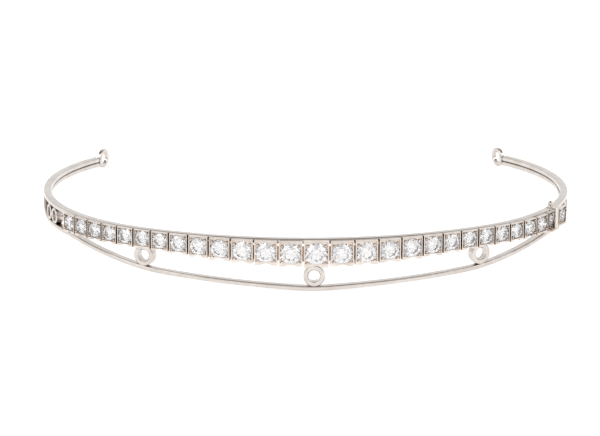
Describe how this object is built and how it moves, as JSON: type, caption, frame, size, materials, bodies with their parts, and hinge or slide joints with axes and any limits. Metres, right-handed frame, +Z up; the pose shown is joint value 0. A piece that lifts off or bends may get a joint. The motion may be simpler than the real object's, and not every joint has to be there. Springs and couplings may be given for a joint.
{
  "type": "bridal tiara",
  "caption": "Open tiara of two polished white-gold rails with a detachable graduated row of square-set brilliants, hanging loops and end eyelets.",
  "frame": {"origin": "middle of the bounding box in plan, at the height of the flat surface that the tiara lies on", "axes": "+Z up from the table, -Y towards the front of the tiara, +X towards the wearer's left, the side of the safety catch"},
  "size_m": [0.14, 0.0936, 0.0145],
  "materials": {
    "white_gold": "rhodium plated, mirror polished",
    "diamond": "brilliant cut"
  },
  "bodies": {
    "frame": {"upper_rail": "white_gold", "lower_rail": "white_gold", "front_loop_left": "white_gold", "front_loop_centre": "white_gold", "front_loop_right": "white_gold", "strut_left": "white_gold", "strut_centre": "white_gold", "strut_right": "white_gold", "side_loop_left_front": "white_gold", "side_loop_left_rear": "white_gold", "side_loop_right_front": "white_gold", "side_loop_right_rear": "white_gold", "end_eyelet_left": "white_gold", "end_eyelet_right": "white_gold", "keeper_left": "white_gold", "keeper_right": "white_gold", "clasp_collet": "white_gold", "clasp_stone": "diamond"},
    "row": {"tongue_left": "white_gold", "tongue_right": "white_gold", "link_rivets": "white_gold", "catch_pin": "white_gold", "collet_01": "white_gold", "collet_02": "white_gold", "collet_03": "white_gold", "collet_04": "white_gold", "collet_05": "white_gold", "collet_06": "white_gold", "collet_07": "white_gold", "collet_08": "white_gold", "collet_09": "white_gold", "collet_10": "white_gold", "collet_11": "white_gold", "collet_12": "white_gold", "collet_13": "white_gold", "collet_14": "white_gold", "collet_15": "white_gold", "collet_16": "white_gold", "collet_17": "white_gold", "collet_18": "white_gold", "collet_19": "white_gold", "collet_20": "white_gold", "collet_21": "white_gold", "collet_22": "white_gold", "collet_23": "white_gold", "collet_24": "white_gold", "collet_25": "white_gold", "collet_26": "white_gold", "collet_27": "white_gold", "stones_01_03": "diamond", "stones_04_06": "diamond", "stones_07_09": "diamond", "stones_10_12": "diamond", "stones_13_15": "diamond", "stones_16_18": "diamond", "stones_19_21": "diamond", "stones_22_24": "diamond", "stones_25_27": "diamond"},
    "safety_catch": {"catch_bar": "white_gold"}
  },
  "joints": [
    {"name": "row_slide", "type": "slide", "parent": "frame", "child": "row", "axis": [0, -0.9928, 0.12], "range_m": [0, 0.02]},
    {"name": "catch_hinge", "type": "hinge", "parent": "row", "child": "safety_catch", "pos_m": [0.0635, -0.01998, 0.00701], "axis": [0.5946, 0.7982, -0.0965], "range_deg": [0, 100]}
  ]
}
